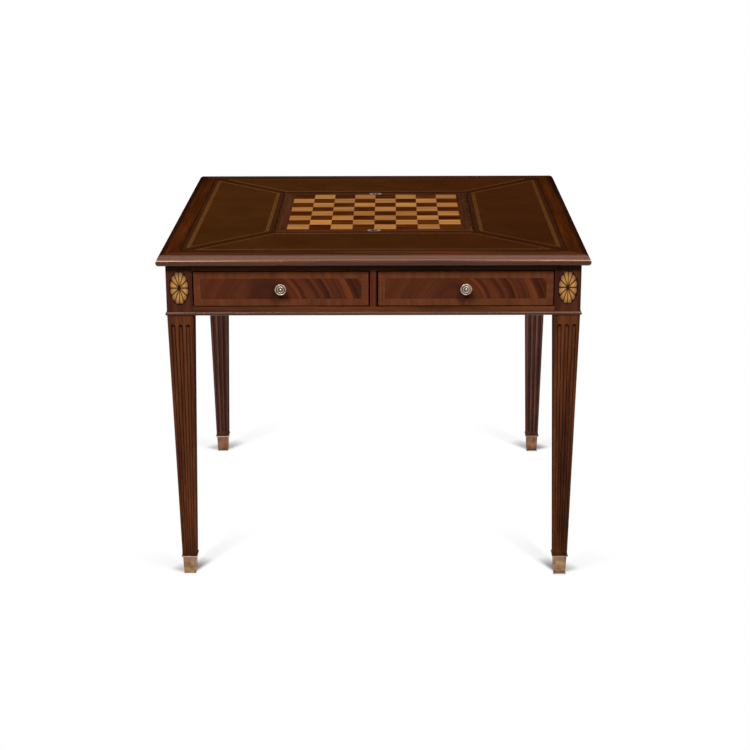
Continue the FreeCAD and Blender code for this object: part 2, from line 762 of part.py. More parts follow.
cross_pieces = bearers() + [inner_rail()]
save("apron_rear", quarter(apron, 2))
save("apron_right", quarter(apron, 1).cut(cross_pieces))
save("apron_left", quarter(apron, 3).cut(cross_pieces))
save("front_top_rail", front_top_rail.cut(divider_tenon(MORTISE_RELIEF)))
save("front_bottom_rail", front_bottom_rail.cut(divider_tenon(MORTISE_RELIEF)))
divider_half = DIVIDER_WIDTH / 2
divider = box(-divider_half, divider_half, -frame_half, -apron_inner, opening_bottom, opening_top)
save("drawer_divider", divider.fuse(divider_tenon(0)).removeSplitter())
save("inner_rail", inner_rail())
save("bead_moulding", Part.makeCompound([quarter(bead(), turns) for turns in range(4)]))

for turns, name in enumerate(SIDES):
    save("top_border_" + name, quarter(border(), turns).cut(top_screw_holes))
    save("leather_" + name, quarter(leather(), turns))
panel = square(leather_half, underside, leather_bottom).fuse(tongue(0)).removeSplitter()
save("top_panel", panel.cut([square(board_hole, underside, leather_bottom)] + top_screw_holes))

save("well_walls", Part.makeCompound([quarter(well_wall(), turns) for turns in range(4)]))
save("well_floor", well_floor())
save("well_lining", square(well_inner - WELL_LINING_MARGIN, floor_top, floor_top + WELL_LINING))
save("well_bearers", Part.makeCompound(bearers()))

save("top_cleats", Part.makeCompound([cleat.cut(top_screw_holes) for cleat in cleats()]))
save("top_screws", Part.makeCompound([top_screw(place, 0).removeSplitter() for place in screw_places]))
save("drawer_runners", Part.makeCompound(strips(apron_bottom, opening_bottom)))
kickers = [kicker.cut(top_screw_holes) for kicker in strips(opening_top, underside)]
save("drawer_kickers", Part.makeCompound(kickers))
save("drawer_guides", Part.makeCompound(guides()))
save("drawer_stops", Part.makeCompound(drawer_stops()))

for piece, shape in drawer_pieces().items():
    save("drawer_left_" + piece, shape)
    save("drawer_right_" + piece, mirrored(shape))

pull_pockets = at_pulls(pull_oval(INLAY_GAP))
core = square(board_half, board_bottom, veneer_bottom)
border_strip = plate(trapezium(board_half, squares_half), veneer_bottom, TABLE_HEIGHT)
border_strips = [quarter(border_strip, turns).cut(pull_pockets) for turns in range(4)]
save("board_core", core.cut(pull_pockets))
save("board_border", Part.makeCompound(border_strips))
save("squares_light", Part.makeCompound(chess_squares(True)))
save("squares_dark", Part.makeCompound(chess_squares(False)))
save("pull_cups", Part.makeCompound(at_pulls(pull_cup())))
save("ring_pins", Part.makeCompound(at_pulls(hinge_rod(RING_PIN_RADIUS, pin_reach))))
ring_front, ring_rear = at_pulls(pull_ring())
save("ring_front", ring_front)
save("ring_rear", ring_rear)
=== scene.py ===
import math

import bpy
from mathutils import Matrix, Vector


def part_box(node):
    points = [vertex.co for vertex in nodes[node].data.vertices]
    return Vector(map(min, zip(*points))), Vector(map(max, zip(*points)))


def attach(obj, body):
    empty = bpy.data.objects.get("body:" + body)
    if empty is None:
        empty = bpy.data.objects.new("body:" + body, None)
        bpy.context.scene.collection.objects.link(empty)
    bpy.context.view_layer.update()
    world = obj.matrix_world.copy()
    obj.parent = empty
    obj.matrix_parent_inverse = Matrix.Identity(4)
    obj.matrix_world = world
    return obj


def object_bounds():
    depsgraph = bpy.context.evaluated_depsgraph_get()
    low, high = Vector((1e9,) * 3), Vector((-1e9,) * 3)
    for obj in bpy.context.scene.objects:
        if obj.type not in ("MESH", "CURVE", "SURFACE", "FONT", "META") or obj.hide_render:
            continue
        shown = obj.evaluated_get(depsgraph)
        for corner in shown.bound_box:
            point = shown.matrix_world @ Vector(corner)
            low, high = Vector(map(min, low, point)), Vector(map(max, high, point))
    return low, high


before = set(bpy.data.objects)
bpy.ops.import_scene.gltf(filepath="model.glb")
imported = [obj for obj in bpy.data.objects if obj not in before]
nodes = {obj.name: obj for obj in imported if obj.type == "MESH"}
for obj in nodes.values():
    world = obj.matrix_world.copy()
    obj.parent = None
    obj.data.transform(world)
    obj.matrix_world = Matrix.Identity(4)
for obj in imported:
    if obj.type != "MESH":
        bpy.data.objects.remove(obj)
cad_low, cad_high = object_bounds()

# The chess table's looks: materials for every piece, gold tooling on the leather, light, floor and camera.
# Metres, in the part's own frame: +Z up, the drawers face -Y.

# Places taken from the part
table_top = cad_high.z
leather_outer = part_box("leather_front")[1].x
leather_inner = -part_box("leather_front")[1].y
leg_low, leg_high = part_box("leg_front_right")
leg_centre = (leg_low.x + leg_high.x) / 2
post_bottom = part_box("front_bottom_rail")[0].z
sabot_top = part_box("sabots")[1].z
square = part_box("squares_light")[1].x / 4
front_low, front_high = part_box("drawer_left_front")
drawer_middle = -(front_low.x + front_high.x) / 2
drawer_centre = (front_low.z + front_high.z) / 2
drawer_half_width = (front_high.x - front_low.x) / 2
drawer_half_height = (front_high.z - front_low.z) / 2
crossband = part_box("drawer_left_flame_veneer")[0].x - front_low.x
patera_low, patera_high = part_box("patera_petals")
patera_half_height = (patera_high.z - patera_low.z) / 2
ornament_level = (patera_high.z + patera_low.z) / 2
rail_low, rail_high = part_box("front_top_rail")
divider_low, divider_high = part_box("drawer_divider")

# Sizes inside the pieces, which their boxes don't give
SHAFT_TOP = 0.0575
SHAFT_BOTTOM = 0.0326
SABOT_FOOT = 0.0275
FLUTE_TOP = 0.605
PATERA_HALF_WIDTH = 0.0200
PETALS = 12
ARRIS = 0.461  # from the middle to where the border's flat ends
STEP_END = 0.473  # from the middle to the end of the shaded part of the border's slope
SLOPE_DROP = 0.0061  # from the top down to where the border's slope ends
nose_top = table_top - SLOPE_DROP

# Gold tooling: each band's middle, from the table's middle, and its width
OUTER_BAND = (0.4120, 0.0066)
INNER_BAND = (0.2480, 0.0062)
LINE_WIDTH = 0.0010
LEAF_POINTS = 8
LEAF_PITCH, LEAF_LENGTH, LEAF_WIDTH = 0.55, 0.85, 0.22  # shares of the band's width
MITRE_GAP = 0.0225  # from a mitre to the line beside it, along an axis
MITRE_LINE = 0.0024
GOLD_RISE = 0.00008

# Distances from the middle between which a tone changes: over the whole leather, and between the feet
LEATHER_FADE = 0.43
FEET_FADE = 0.3

# Roughness and specular level of the rails' and legs' polish
SATIN = 0.42
SATIN_GLOSS = 0.04

# Wood grain: features in a metre, along the grain and across it
SWAY = (2.5, 12)
BROAD_STREAKS = (3, 48)
FINE_STREAKS = (12, 380)
PORES = (130, 2300)

# Depth of the bump in polished wood and metal, and in leather
FINE_RELIEF = 0.0002
PEBBLE_RELIEF = 0.0003

# Roughness of the pale and the dark aged metals
AGED = 0.34

# Radii of the knob's grooves: where each starts to darken, is dark, starts to lighten and is light
KNOB_GROOVES = ((0.0076, 0.0082, 0.0096, 0.0103), (0.0023, 0.0029, 0.0050, 0.0056))

# Floor shadows: the angles at which they leave the feet, from inwards to the rear,
# and the distances from the foot between which the dark part and its pale tail fade
LONG_ANGLE = math.radians(67)
REAR_TURN = math.radians(-9)
SHORT_ANGLE = math.radians(139)
CORE_FADE = (0.020, 0.110)
TAIL_FADE = (0.050, 0.320)
TAIL_SHARE = 0.15
FLOOR_REACH = 12.0
FLOOR_DROP = 0.0003

# Soft boxes: name, place, width, height and watts
LAMPS = (
    ("key_left", (-1.05, -2.45, 2.95), 1.0, 0.7, 58),
    ("key_right", (1.05, -2.45, 2.95), 1.0, 0.7, 58),
    ("overhead", (0, -0.7, 3.2), 2.4, 1.4, 22),
    ("side_left", (-2.4, -0.3, 0.35), 0.5, 0.5, 16),
    ("side_right", (2.4, -0.3, 0.35), 0.5, 0.5, 16),
    ("rear_fill", (0, 2.8, 0.42), 2.2, 0.6, 16),
)
LAMP_AIM = 0.7  # share of the table's height
FILL_COLOUR = (1.0, 0.98, 0.96, 1.0)
FILL_STRENGTH = 0.10

# The photograph's own view, worked out from the table's corners, squares and feet.
# The angles are yaw, pitch and roll, in degrees.
CAMERA_PLACE = (0.038648, -4.291361, 1.655404)
CAMERA_ANGLES = (-0.5348, 16.9759, 0.2403)
CAMERA_LENS = 86.150
CAMERA_SENSOR = 36.0

WHITE = (1.0, 1.0, 1.0, 1.0)

# A mix node's two inputs and its output, by number, since their names are the same for all kinds of data
MIX_COLOURS = (6, 7, 2)
MIX_VECTORS = (4, 5, 1)


def rgb(red, green, blue):
    """A colour given as it shows on screen, 0 to 255, as Blender's linear colour."""
    linear = []
    for value in (red, green, blue):
        share = value / 255
        linear.append(share / 12.92 if share <= 0.04045 else ((share + 0.055) / 1.055) ** 2.4)
    return (*linear, 1.0)


class Look:
    """A material, with short ways to add nodes to it.

    A value is a number, a colour or another node's socket.
    """

    def __init__(self, name, roughness=0.45, specular=0.1, metallic=0.0):
        self.material = bpy.data.materials.new(name)
        self.material.use_nodes = True
        self.tree = self.material.node_tree
        self.shader = self.tree.nodes["Principled BSDF"]
        self.shader.inputs["Roughness"].default_value = roughness
        self.shader.inputs["Specular IOR Level"].default_value = specular
        self.shader.inputs["Metallic"].default_value = metallic
        self.place = self.add("ShaderNodeTexCoord").outputs["Object"]
        self.x, self.y, self.z = self.add("ShaderNodeSeparateXYZ", self.place).outputs

    def add(self, kind, *values, **settings):
        node = self.tree.nodes.new(kind)
        for key, value in settings.items():
            setattr(node, key, value)
        for socket, value in zip(node.inputs, values):
            self.join(value, socket)
        return node

    def join(self, value, socket):
        if isinstance(value, bpy.types.NodeSocket):
            self.tree.links.new(value, socket)
        else:
            socket.default_value = value

    def math(self, operation, *values):
        return self.add("ShaderNodeMath", *values, operation=operation).outputs[0]

    def plus(self, first, second):
        return self.math("ADD", first, second)

    def minus(self, first, second):
        return self.math("SUBTRACT", first, second)

    def times(self, first, second):
        return self.math("MULTIPLY", first, second)

    def over(self, first, second):
        return self.math("DIVIDE", first, second)

    def most(self, first, second):
        return self.math("MAXIMUM", first, second)

    def size(self, value):
        return self.math("ABSOLUTE", value)

    def more(self, value, limit):
        """One where a value is more than a limit, else nought."""
        return self.math("GREATER_THAN", value, limit)

    def length(self, first, second):
        """The length of a line that goes so far one way and so far the other."""
        return self.math("SQRT", self.plus(self.times(first, first), self.times(second, second)))

    def offset(self, value, middle):
        """How far the size of a value lies from a middle, with its sign."""
        return self.minus(self.size(value), middle)

    def vector(self, x, y, z):
        return self.add("ShaderNodeCombineXYZ", x, y, z).outputs[0]

    def scaled(self, place, x, y, z):
        return self.add("ShaderNodeVectorMath", place, (x, y, z), operation="MULTIPLY").outputs[0]

    def moved(self, place, offset):
        return self.add("ShaderNodeVectorMath", place, offset, operation="ADD").outputs[0]

    def noise(self, place, scale, detail=2.0, roughness=0.5):
        node = self.add("ShaderNodeTexNoise")
        wanted = {"Vector": place, "Scale": scale, "Detail": detail, "Roughness": roughness}
        for name, value in wanted.items():
            self.join(value, node.inputs[name])
        return node.outputs["Fac"]

    def cells(self, place, scale):
        node = self.add("ShaderNodeTexVoronoi")
        self.join(place, node.inputs["Vector"])
        self.join(scale, node.inputs["Scale"])
        return node.outputs["Distance"]

    def dice(self, place):
        return self.add("ShaderNodeTexWhiteNoise", place, noise_dimensions="3D").outputs["Value"]

    def band(self, value, start, end, low=0.0, high=1.0):
        """A smooth step of a value, low before start and high after end."""
        node = self.add("ShaderNodeMapRange", value, start, end, low, high, interpolation_type="SMOOTHSTEP")
        return node.outputs[0]

    def ramp(self, value, *stops):
        node = self.add("ShaderNodeValToRGB", value)
        elements = node.color_ramp.elements
        while len(elements) < len(stops):
            elements.new(0.5)
        for element, (place, colour) in zip(elements, stops):
            element.position = place
            element.color = colour
        return node.outputs["Color"]

    def mixed(self, node, sockets, share, first, second):
        first_socket, second_socket, result = sockets
        self.join(share, node.inputs["Factor"])
        self.join(first, node.inputs[first_socket])
        self.join(second, node.inputs[second_socket])
        return node.outputs[result]

    def mix(self, share, first, second, mode="MIX"):
        """One colour with a share of another."""
        node = self.add("ShaderNodeMix", data_type="RGBA", blend_type=mode)
        return self.mixed(node, MIX_COLOURS, share, first, second)

    def pick(self, share, first, second):
        """One vector or the other."""
        node = self.add("ShaderNodeMix", data_type="VECTOR")
        return self.mixed(node, MIX_VECTORS, share, first, second)

    def tint(self, colour, factor):
        """A colour times a number or another colour."""
        return self.mix(1.0, colour, factor, "MULTIPLY")

    def paint(self, colour):
        self.join(colour, self.shader.inputs["Base Color"])

    def rough(self, value):
        self.join(value, self.shader.inputs["Roughness"])

    def bump(self, height, strength, distance):
        node = self.add("ShaderNodeBump")
        self.join(height, node.inputs["Height"])
        node.inputs["Strength"].default_value = strength
        node.inputs["Distance"].default_value = distance
        self.join(node.outputs["Normal"], self.shader.inputs["Normal"])


def dress(look, *names):
    """Gives nodes a look in place of all that they had."""
    for name in names:
        slots = nodes[name].data.materials
        slots.clear()
        slots.append(look.material)


def second_look(look, names, chosen):
    """Gives the faces of some nodes for which chosen(face) holds another look."""
    for name in names:
        mesh = nodes[name].data
        mesh.materials.append(look.material)
        for face in mesh.polygons:
            if chosen(face):
                face.material_index = len(mesh.materials) - 1


def outwards(look):
    """How far a place is from the table's middle, along x or y, whichever is more."""
    return look.most(look.size(look.x), look.size(look.y))


def from_mitre(look):
    """How far a place is from the nearest mitre of the top, along an axis."""
    return look.size(look.minus(look.size(look.x), look.size(look.y)))


def left_to_right(look, left, right):
    """A colour that changes from the left end of the leather to its right end."""
    return look.mix(look.band(look.x, -LEATHER_FADE, LEATHER_FADE), left, right)


# Wood
MAHOGANY = (rgb(50, 23, 13), rgb(86, 45, 25), rgb(110, 61, 34))
RAIL_TONES = (rgb(54, 27, 15), rgb(90, 51, 30), rgb(116, 68, 40))


def grain_along(look, axis):
    """Object coordinates turned so that their x runs along the grain.

    In a frame the grain runs along x at the front and rear, and along y at the sides.
    """
    if axis == "frame":
        sideways = look.more(look.size(look.x), look.size(look.y))
        return look.pick(sideways, grain_along(look, "x"), grain_along(look, "y"))
    if axis == "y":
        return look.vector(look.y, look.z, look.x)
    if axis == "z":
        return look.vector(look.z, look.x, look.y)
    return look.place


def wood(look, grain, dark, base, light, coarse=1.0):
    """Gives a look the streaks, pores and slight gloss changes of polished wood. Returns its colour."""

    def stretched(place, along, across):
        return look.scaled(place, along, across, across)

    sway = look.times(look.noise(stretched(grain, *SWAY), 1.0), 0.010)
    swayed = look.moved(grain, look.vector(0.0, sway, sway))
    broad = look.noise(stretched(swayed, *(rate * coarse for rate in BROAD_STREAKS)), 1.0, 3.0)
    fine = look.noise(stretched(swayed, *FINE_STREAKS), 1.0, 3.0, 0.6)
    pores = look.band(look.noise(stretched(grain, *PORES), 1.0, 1.0), 0.56, 0.72)
    tone = look.plus(look.times(broad, 0.6), look.times(fine, 0.4))
    colour = look.ramp(tone, (0.34, dark), (0.5, base), (0.66, light))
    look.rough(look.plus(look.times(fine, 0.12), look.shader.inputs["Roughness"].default_value - 0.06))
    look.bump(look.minus(look.times(fine, 0.4), pores), 0.12, FINE_RELIEF)
    return look.mix(look.times(pores, 0.55), colour, dark)


def plain_look(name, roughness, specular, axis, tones):
    """Wood with straight grain and nothing else."""
    look = Look(name, roughness, specular)
    look.paint(wood(look, grain_along(look, axis), *tones))
    return look


# Legs
FRONT_LEGS = ["leg_front_left", "leg_front_right"]
REAR_LEGS = ["leg_rear_left", "leg_rear_right"]
FRONT_TONES = (rgb(52, 24, 13), rgb(92, 50, 28), rgb(124, 70, 40))
# Greyer than the front legs' tones: a painted sheen on the rear legs
REAR_SHEEN_TONES = (rgb(62, 36, 27), rgb(100, 63, 50), rgb(128, 84, 68))


def leg_look(name, tones, specular, groove, low, high):
    """Upright grain and a darker post, with painted shade along the flutes' lips and heads
    and just above the sabot.

    groove is the painted shade deep in a flute.
    The tones are multiplied by low near the foot and by high near the post, as painted light and shade.
    """
    look = Look(name, SATIN, specular)
    colour = wood(look, grain_along(look, "z"), *tones)
    across = look.size(look.offset(look.x, leg_centre))
    along = look.size(look.offset(look.y, leg_centre))
    half = look.add("ShaderNodeMapRange", look.z, sabot_top, post_bottom, SHAFT_BOTTOM / 2, SHAFT_TOP / 2)
    depth = look.minus(1.0, look.over(look.most(across, along), half.outputs[0]))
    # Painted shade in the flutes: along their lips, deep in them by groove, and at their heads
    lips = look.band(depth, 0.085, 0.045, groove, 1.0)
    heads = look.band(look.z, FLUTE_TOP - 0.014, FLUTE_TOP - 0.005, 0.0, 0.95)
    shade = look.times(look.band(depth, 0.003, 0.010), look.most(lips, heads))
    # Painted light and shade by height, from low near the foot to high near the post
    colour = look.tint(colour, look.band(look.z, 0.20, 0.55, low, high))
    colour = look.mix(shade, colour, rgb(30, 13, 7))
    # Painted shade just above the sabot
    colour = look.tint(colour, look.band(look.z, sabot_top + 0.003, sabot_top + 0.014, 0.62, 1.0))
    post = look.band(look.z, post_bottom - 0.0005, post_bottom)
    look.paint(look.mix(look.times(post, 0.45), colour, rgb(44, 19, 19)))
    return look


def turned_away(face):
    """Whether a face isn't turned to the front."""
    return face.normal.y > -0.5


dress(leg_look("leg_front_mahogany", FRONT_TONES, SATIN_GLOSS, 0.0, 1.18, 1.03), *FRONT_LEGS)
# Side faces without reflections, painted lighter low down: painted light and sheen in place of their
# reflections
leg_side_painted_light = leg_look("leg_side_mahogany", FRONT_TONES, 0.0, 0.0, 1.95, 1.12)
# The rear legs: painted shade deep in the flutes, and painted light, strongest high up, that lifts them out
# of the top's shadow
dress(leg_look("leg_rear_mahogany", REAR_SHEEN_TONES, 0.08, 0.52, 1.20, 2.25), *REAR_LEGS)
second_look(leg_side_painted_light, FRONT_LEGS + REAR_LEGS, turned_away)


# Rails, aprons, divider and bead
def top_rail_look():
    """The rails' wood, with painted shade: lighter at the foot and darker towards the top, under the top's
    overhang.
    """
    look = Look("top_rail_mahogany", SATIN, SATIN_GLOSS)
    colour = wood(look, grain_along(look, "x"), *RAIL_TONES)
    # Painted shade under the top's overhang, with painted light at the rail's foot
    look.paint(look.tint(colour, look.band(look.z, rail_low.z, rail_high.z, 1.35, 0.5)))
    return look


def divider_look():
    """Upright grain, with painted shade down each edge, for the gaps beside the drawers."""
    look = Look("divider_mahogany", SATIN, SATIN_GLOSS)
    colour = wood(look, grain_along(look, "z"), rgb(58, 25, 14), rgb(98, 46, 26), rgb(124, 62, 35))
    # Painted shade down both edges, wider on the right, for the gaps beside the drawers
    left = look.band(look.x, divider_low.x + 0.0014, divider_low.x + 0.0006)
    right = look.band(look.x, divider_high.x - 0.0032, divider_high.x - 0.0022)
    look.paint(look.mix(look.times(look.most(left, right), 0.9), colour, rgb(16, 7, 4)))
    return look


dress(plain_look("rail_mahogany", SATIN, SATIN_GLOSS, "x", RAIL_TONES), "front_bottom_rail", "apron_rear")
dress(top_rail_look(), "front_top_rail")
dress(plain_look("side_apron_mahogany", SATIN, SATIN_GLOSS, "y", MAHOGANY), "apron_left", "apron_right")
dress(divider_look(), "drawer_divider")
BEAD_TONES = (rgb(48, 24, 14), rgb(78, 44, 27), rgb(100, 60, 38))
bead = plain_look("bead_mahogany", 0.22, 0.36, "frame", BEAD_TONES)
bead.shader.inputs["Specular Tint"].default_value = rgb(255, 215, 200)
dress(bead, "bead_moulding")


# Top: flat border, moulded edge, leather
def border_looks(side, axis, flat_tones, edge_tones, gloss, step_shade):
    """A matt flat border, and beyond its arris a slope and a bullnose, which are paler high up
    as a painted highlight.

    gloss is the edge's specular level, and step_shade is how dark the painted shade in the slope's middle is.
    """
    name = "top_border_" + side
    flat = Look("border_" + side, 0.5, 0.0)
    colour = wood(flat, grain_along(flat, axis), *flat_tones)
    if axis == "y":
        colour = flat.tint(colour, flat.band(flat.size(flat.y), 0.22, 0.44, 1.0, 0.78))
        # Painted shade along the arris of the side borders
        rim = flat.band(flat.size(flat.x), ARRIS - 0.0050, ARRIS - 0.0020, 0.0, 0.6)
        colour = flat.mix(rim, colour, rgb(24, 9, 5))
    flat.paint(colour)
    dress(flat, name)
    edges = (("slope", 0.26, 0.85, rgb(255, 216, 202), edge_tones[1], on_slope),
             ("nose", 0.16, 1.1, rgb(255, 202, 178), rgb(140, 92, 74), on_nose))
    for part, roughness, polish, reflection, painted_highlight_tone, chosen in edges:
        edge = Look(part + "_" + side, roughness, gloss * polish)
        edge.shader.inputs["Specular Tint"].default_value = reflection
        colour = wood(edge, grain_along(edge, axis), *edge_tones)
        # Painted highlight: the slope and the upper nose are paler high up
        worn = edge.band(edge.z, table_top - 0.0120, table_top - 0.0075, 0.0, 0.55)
        colour = edge.mix(worn, colour, painted_highlight_tone)
        out = outwards(edge)
        # Painted shade in the slope's hollow, as dark as step_shade
        step = edge.times(edge.band(out, ARRIS - 0.0002, ARRIS + 0.0010),
                          edge.band(out, STEP_END + 0.0005, STEP_END - 0.0005, 0.0, step_shade))
        edge.paint(edge.mix(step, colour, rgb(16, 7, 5)))
        second_look(edge, [name], chosen)


def beyond_arris(face):
    return max(abs(face.center.x), abs(face.center.y)) > ARRIS - 0.0005


def on_slope(face):
    return beyond_arris(face) and face.normal.z < 0.93 and face.center.z > nose_top


def on_nose(face):
    return beyond_arris(face) and face.center.z <= nose_top


for side, gloss in (("front", 0.55), ("rear", 0.06)):
    border_looks(side, "x", (rgb(44, 20, 9), rgb(72, 37, 20), rgb(92, 49, 29)),
                 (rgb(44, 20, 6), rgb(66, 33, 12), rgb(84, 46, 18)), gloss, 0.0)
for side in ("left", "right"):
    border_looks(side, "y", (rgb(44, 18, 4), rgb(70, 32, 9), rgb(90, 43, 14)),
                 (rgb(42, 20, 14), rgb(64, 33, 23), rgb(82, 45, 32)), 0.0, 0.7)


def leather_look():
    """Brown leather: pebbled, cloudy, paler to the left and the rear, dark at its edges and mitres."""
    look = Look("tooled_leather", 0.62, 0.0)
    cloud = look.noise(look.place, 9.0, 4.0, 0.6)
    mottle = look.noise(look.place, 160.0, 3.0, 0.6)
    tone = look.plus(look.times(cloud, 0.65), look.times(mottle, 0.35))
    colour = look.ramp(tone, (0.25, rgb(57, 31, 9)), (0.5, rgb(70, 39, 13)), (0.75, rgb(82, 47, 18)))
    pebbles = look.cells(look.place, 850.0)
    colour = look.mix(look.band(pebbles, 0.30, 0.65, 0.0, 0.25), colour, rgb(40, 19, 6))
    # Painted light and shade: darker at the front and paler at the rear, evening out the lamps' light on the
    # top
    colour = look.tint(colour, look.band(look.y, -LEATHER_FADE, LEATHER_FADE, 0.76, 1.15))
    colour = look.tint(colour, left_to_right(look, (1.13, 1.07, 1.12, 1.0), (0.98, 0.83, 1.0, 1.0)))
    out = outwards(look)
    rim = look.most(look.band(out, OUTER_BAND[0] + 0.0040, OUTER_BAND[0] + 0.0060),
                    look.band(out, INNER_BAND[0] - 0.0040, INNER_BAND[0] - 0.0055))
    colour = look.mix(look.times(rim, 0.45), colour, rgb(52, 27, 20))
    mitre = from_mitre(look)
    # A dark joint at the outer edge, and painted shade in the gap to the board at the inner edge
    seam_and_gap_shade = look.most(look.band(out, leather_outer - 0.0030, leather_outer - 0.0020),
                     look.band(out, leather_inner + 0.0028, leather_inner + 0.0018))
    valley = look.most(look.band(mitre, 0.0026, 0.0014, 0.0, 0.7),
                       look.band(mitre, 0.0190, 0.0040, 0.0, 0.42))
    look.paint(look.mix(look.times(look.most(seam_and_gap_shade, valley), 0.8), colour, rgb(30, 13, 5)))
    grain = look.plus(look.times(pebbles, -1.0), look.times(look.noise(look.place, 2200.0), 0.4))
    look.bump(grain, 0.35, PEBBLE_RELIEF)
    return look


dress(leather_look(), "leather_front", "leather_rear", "leather_left", "leather_right")


# Chess board
LIGHT_TONES = (rgb(150, 96, 52), rgb(182, 125, 69), rgb(204, 149, 86))
DARK_TONES = (rgb(56, 22, 6), rgb(87, 41, 11), rgb(110, 57, 20))
BOARD_TONES = (rgb(46, 22, 12), rgb(74, 40, 22), rgb(96, 56, 34))


def squares_look(name, tones, spread, patch_tint):
    """Veneer whose tone and grain change from square to square, with patches of another tint in it."""
    look = Look(name, 0.5, 0.0)
    column = look.math("FLOOR", look.over(look.x, square))
    row = look.math("FLOOR", look.over(look.y, square))
    chance = look.dice(look.vector(column, row, 0.0))
    shifted = look.moved(look.place, look.vector(look.times(chance, 3.0), look.times(chance, 1.7), 0.0))
    colour = wood(look, shifted, *tones, 1.4)
    darkest = (1 - spread, 1 - spread, 1 - spread, 1.0)
    colour = look.tint(colour, look.ramp(chance, (0.0, darkest), (1.0, WHITE)))
    patches = look.band(look.noise(shifted, 26.0, 2.0), 0.46, 0.62)
    look.paint(look.mix(patches, colour, look.tint(colour, patch_tint)))
    return look


dress(squares_look("light_squares", LIGHT_TONES, 0.22, (1.04, 0.95, 0.66, 1.0)), "squares_light")
dress(squares_look("dark_squares", DARK_TONES, 0.35, (0.80, 0.78, 0.90, 1.0)), "squares_dark")
dress(plain_look("board_border_wood", 0.5, 0.0, "frame", BOARD_TONES), "board_border", "board_core")


# Drawers: flame veneer in a crossbanded frame
def drawer_place(look):
    """Across and up from the middle of either drawer's front."""
    middle = look.math("MULTIPLY_ADD", look.more(look.x, 0.0), 2 * drawer_middle, -drawer_middle)
    return look.minus(look.x, middle), look.minus(look.z, drawer_centre)


def flame_look():
    """Crotch figure: broad plumes that lean away from a dark heart beside the knob, faint to its left."""
    look = Look("flame_veneer", 0.40, SATIN_GLOSS)
    across, up = drawer_place(look)
    spine = look.plus(across, 0.030)
    spine_squared = look.times(spine, spine)
    lean = look.plus(look.math("SQRT", look.plus(spine_squared, 0.0004)), look.times(spine_squared, 3.9))
    rise = look.plus(up, look.times(look.times(up, up), 10.0))
    drift = look.noise(look.vector(look.times(across, 10.0), look.x, look.times(up, 16.0)), 1.0, 3.0)
    arch = look.plus(look.plus(rise, lean), look.times(drift, 0.020))
    plume = look.noise(look.vector(look.times(arch, 42.0), look.times(spine, 3.0), 7.3), 1.0, 2.0, 0.5)
    threads = look.vector(look.times(arch, 190.0), look.times(spine, 9.0), look.times(up, 6.0))
    fine = look.noise(threads, 1.0, 4.0, 0.6)
    strength = look.band(spine, -0.01, 0.05, 0.30, 1.75)
    tone = look.times(look.minus(plume, 0.5), strength)
    tone = look.plus(look.plus(tone, look.times(look.minus(fine, 0.5), 0.30)), 0.5)
    colour = look.ramp(tone, (0.26, rgb(58, 27, 17)), (0.5, rgb(88, 44, 26)), (0.76, rgb(114, 58, 29)))
    heart_shade = look.math("MULTIPLY_ADD", look.more(look.x, 0.0), -0.34, 0.52)
    heart = look.times(look.band(look.size(spine), 0.058, 0.022), heart_shade)
    colour = look.mix(heart, colour, rgb(54, 25, 17))
    inlay = look.most(look.minus(look.size(across), drawer_half_width - crossband),
                      look.minus(look.size(up), drawer_half_height - crossband))
    look.paint(look.mix(look.band(inlay, -0.0012, -0.0008, 0.0, 0.5), colour, rgb(40, 19, 11)))
    look.bump(fine, 0.06, FINE_RELIEF)
    return look


def crossband_look():
    """Straight grain across each strip of the frame, painted shade at the top, a pale line at its inner edge.
    """
    look = Look("crossband_veneer", 0.40, SATIN_GLOSS)
    across, up = drawer_place(look)
    end = look.minus(look.size(across), drawer_half_width)
    long = look.minus(look.size(up), drawer_half_height)
    grain = look.pick(look.more(end, long), grain_along(look, "z"), grain_along(look, "x"))
    colour = wood(look, grain, rgb(90, 47, 26), rgb(106, 57, 33), rgb(118, 66, 38), 1.5)
    # Painted shade from the top's overhang, over the upper 11 mm
    colour = look.tint(colour, look.band(up, drawer_half_height - 0.011, drawer_half_height, 1.0, 0.66))
    inner = look.plus(look.most(end, long), crossband)
    look.paint(look.mix(look.band(inner, 0.0009, 0.0006, 0.0, 0.45), colour, rgb(128, 82, 50)))
    return look


dress(flame_look(), "drawer_left_flame_veneer", "drawer_right_flame_veneer")
dress(crossband_look(), "drawer_left_crossband", "drawer_right_crossband")
dress(plain_look("drawer_front_wood", 0.45, SATIN_GLOSS, "x", MAHOGANY),
      "drawer_left_front", "drawer_right_front")


# Inside the table: plain wood, by the way of its grain, and the well's lining
PLAIN = (rgb(116, 82, 50), rgb(150, 112, 72), rgb(176, 138, 94))
INSIDE = {
    "x": ["inner_rail", "drawer_left_back", "drawer_right_back", "drawer_left_bottom", "drawer_right_bottom",
          "well_floor", "well_bearers", "top_panel"],
    "y": ["drawer_left_sides", "drawer_right_sides", "drawer_runners", "drawer_kickers", "drawer_guides"],
    "z": ["drawer_stops"],
    "frame": ["well_walls", "top_cleats"],
}
for axis, names in INSIDE.items():
    dress(plain_look("inside_wood_" + axis, 0.6, 0.15, axis, PLAIN), *names)

lining = Look("well_lining", 0.8, 0.1)
lining_tone = lining.noise(lining.place, 40.0, 4.0, 0.65)
lining.paint(lining.ramp(lining_tone, (0.35, rgb(46, 24, 12)), (0.65, rgb(70, 40, 22))))
lining.bump(lining.cells(lining.place, 700.0), 0.3, PEBBLE_RELIEF)
dress(lining, "well_lining")


